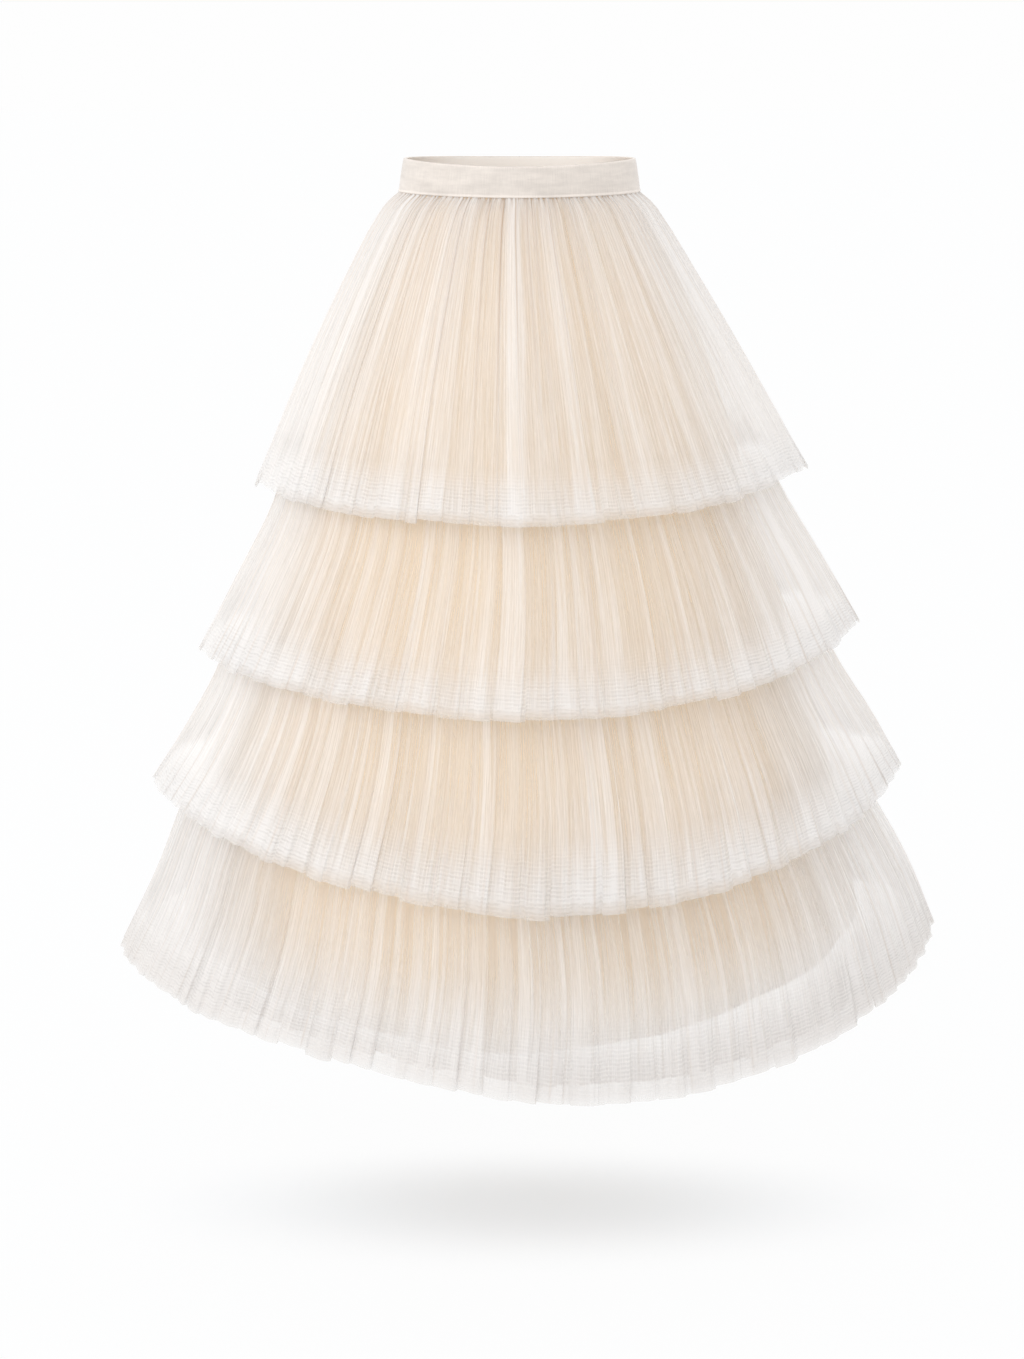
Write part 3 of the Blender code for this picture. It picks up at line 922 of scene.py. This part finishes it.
class SKIRT_OT_tiers(bpy.types.Operator):
    """Makes the four tiers of pleated net, the lowest of two layers, with their hems turned up"""

    bl_idname = "skirt.tiers"
    bl_label = "Net tiers"

    def execute(self, context):
        settings = context.scene.skirt_settings
        material = net_material("ivory_net", settings)
        for tier in TIERS:
            for layer in LAYERS[: tier.layers]:
                self.make_layer(tier, layer, settings, material)
        return {"FINISHED"}

    def make_layer(self, tier, layer, settings, material):
        columns = int(settings.columns * layer.columns)
        shares = even_shares(tier, layer, columns, settings.hem_depth)
        points, place = net_points(tier, layer, shares, settings.hem_depth)
        veil, hem, from_hem, shade = net_veil(
            tier, layer, place, settings.hem_depth, settings.veil
        )
        rows = len(points)
        closed = np.concatenate([points, points[:, :1]], axis=1)
        developed = np.linalg.norm(np.diff(closed, axis=1), axis=2).sum(axis=1)
        strip = float(developed.max())
        across = np.broadcast_to(np.arange(columns + 1) / columns * strip, (rows, columns + 1))
        down = down_cloth(points)
        name = f"{tier.name}_{layer.suffix}"
        marks = {"veil": veil, "hem_band": hem, "from_hem": from_hem, "crease": shade}
        piece = grid_piece(name, points, (across, down), attributes=marks)
        piece.data.materials.append(material)
        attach(piece, BODY)
        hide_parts(f"{tier.name}_front", f"{tier.name}_back")


class SKIRT_OT_stage(bpy.types.Operator):
    """Makes the pale floor, the even light all round, the soft lamp and the camera"""

    bl_idname = "skirt.stage"
    bl_label = "Stage"

    def execute(self, context):
        settings = context.scene.stage_settings
        scene = context.scene
        scene.view_settings.view_transform = "Standard"
        scene.view_settings.look = "None"
        scene.cycles.transparent_max_bounces = 48
        scene.cycles.max_bounces = 8
        scene.cycles.diffuse_bounces = 5

        half = FLOOR_HALF
        mesh = bpy.data.meshes.new("floor")
        z = settings.floor_height
        mesh.from_pydata(
            [(-half, -half, z), (half, -half, z), (half, half, z), (-half, half, z)], [],
            [(0, 1, 2, 3)],
        )
        floor = bpy.data.objects.new("floor", mesh)
        scene.collection.objects.link(floor)
        paper = self.floor_material()
        paper.cycles.emission_sampling = "NONE"
        mesh.materials.append(paper)

        scene.world = self.sky(settings.sky)
        scene.world.cycles.sampling_method = "NONE"

        lamp = bpy.data.lights.new("key", "AREA")
        lamp.shape = "DISK"
        lamp.size = 3.2
        lamp.energy = settings.key_power
        key = bpy.data.objects.new("key", lamp)
        key.location = (-2.3, -2.9, 1.7)
        aim = Vector((0, 0, -0.5)) - key.location
        key.rotation_euler = aim.to_track_quat("-Z", "Y").to_euler()
        scene.collection.objects.link(key)

        data = bpy.data.cameras.new("camera")
        data.lens = settings.lens
        camera = bpy.data.objects.new("camera", data)
        camera.location = (-0.008, -2.6, 0.159)
        camera.rotation_euler = (math.radians(90.0 - 15.80), 0.0, 0.0)
        scene.collection.objects.link(camera)
        scene.camera = camera
        return {"FINISHED"}

    def sky(self, strength):
        """Even light all round, brighter from the sides: strength x (0.93 + 0.6 x to the
        fourth), where x is that of the direction to the sky. The camera sees it white."""
        made = Nodes(bpy.data.worlds.new("studio"))
        place = made.add("ShaderNodeTexCoord")
        x = made.add("ShaderNodeSeparateXYZ", Vector=place.outputs["Generated"]).outputs[0]
        fourth = made.math("POWER", made.math("MULTIPLY", x, x), 2.0)
        even, sides = (share * strength for share in SKY_SHARES)
        light = made.math("MULTIPLY_ADD", fourth, sides, even)
        light = made.add("ShaderNodeBackground", Color=WHITE, Strength=light)
        seen = made.add("ShaderNodeBackground", Color=WHITE, Strength=SEEN)
        path = made.add("ShaderNodeLightPath").outputs["Is Camera Ray"]
        mix = made.shaders(path, light.outputs[0], seen.outputs[0])
        return made.finish(mix, "ShaderNodeOutputWorld")

    def floor_material(self):
        """White paper that glows evenly; within an oval under the skirt it is lit instead, so
        the skirt's soft shadow falls there."""
        made = Nodes(bpy.data.materials.new("white_paper"))
        place = made.add("ShaderNodeTexCoord")
        split = made.add("ShaderNodeSeparateXYZ", Vector=place.outputs["Object"])
        forward = made.math("ADD", split.outputs[1], PATCH_FORWARD)
        across, along = (
            made.math("POWER", made.math("DIVIDE", value, half), 2.0)
            for value, half in zip((split.outputs[0], forward), PATCH_AXES)
        )
        radius = made.math("SQRT", made.math("ADD", across, along))
        patch = made.add(
            "ShaderNodeMapRange", {"interpolation_type": "SMOOTHERSTEP"}, Value=radius,
            From_Min=0.0, From_Max=1.0, To_Min=PATCH_PAPER[0], To_Max=PATCH_PAPER[1],
        )
        path = made.add("ShaderNodeLightPath").outputs["Is Camera Ray"]
        strength = made.math("MULTIPLY_ADD", path, SEEN - FLOOR_LIGHT, FLOOR_LIGHT)
        glow = made.add("ShaderNodeEmission", Color=WHITE, Strength=strength)
        paper = made.add("ShaderNodeBsdfDiffuse", Color=PAPER_COLOUR)
        return made.finish(made.shaders(patch.outputs[0], glow.outputs[0], paper.outputs[0]))


class SKIRT_PT_panel(bpy.types.Panel):
    """Lists the skirt's pieces in the sidebar"""

    bl_idname = "SKIRT_PT_panel"
    bl_label = "Tulle skirt"
    bl_space_type = "VIEW_3D"
    bl_region_type = "UI"
    bl_category = "Skirt"

    def draw(self, context):
        for operator in OPERATORS:
            self.layout.operator(operator.bl_idname)
        for group in (context.scene.skirt_settings, context.scene.stage_settings):
            for label in group.bl_rna.properties.keys():
                if label not in ("rna_type", "name"):
                    self.layout.prop(group, label)


OPERATORS = (SKIRT_OT_stage, SKIRT_OT_waistband, SKIRT_OT_lining, SKIRT_OT_tiers)
CLASSES = (SkirtSettings, StageSettings, *OPERATORS, SKIRT_PT_panel)


def register():
    for entry in CLASSES:
        bpy.utils.register_class(entry)
    bpy.types.Scene.skirt_settings = bpy.props.PointerProperty(type=SkirtSettings)
    bpy.types.Scene.stage_settings = bpy.props.PointerProperty(type=StageSettings)


def unregister():
    del bpy.types.Scene.skirt_settings
    del bpy.types.Scene.stage_settings
    for entry in reversed(CLASSES):
        bpy.utils.unregister_class(entry)


def main():
    register()
    bpy.ops.skirt.stage()
    bpy.ops.skirt.waistband()
    bpy.ops.skirt.lining()
    bpy.ops.skirt.tiers()


if __name__ == "__main__":
    main()
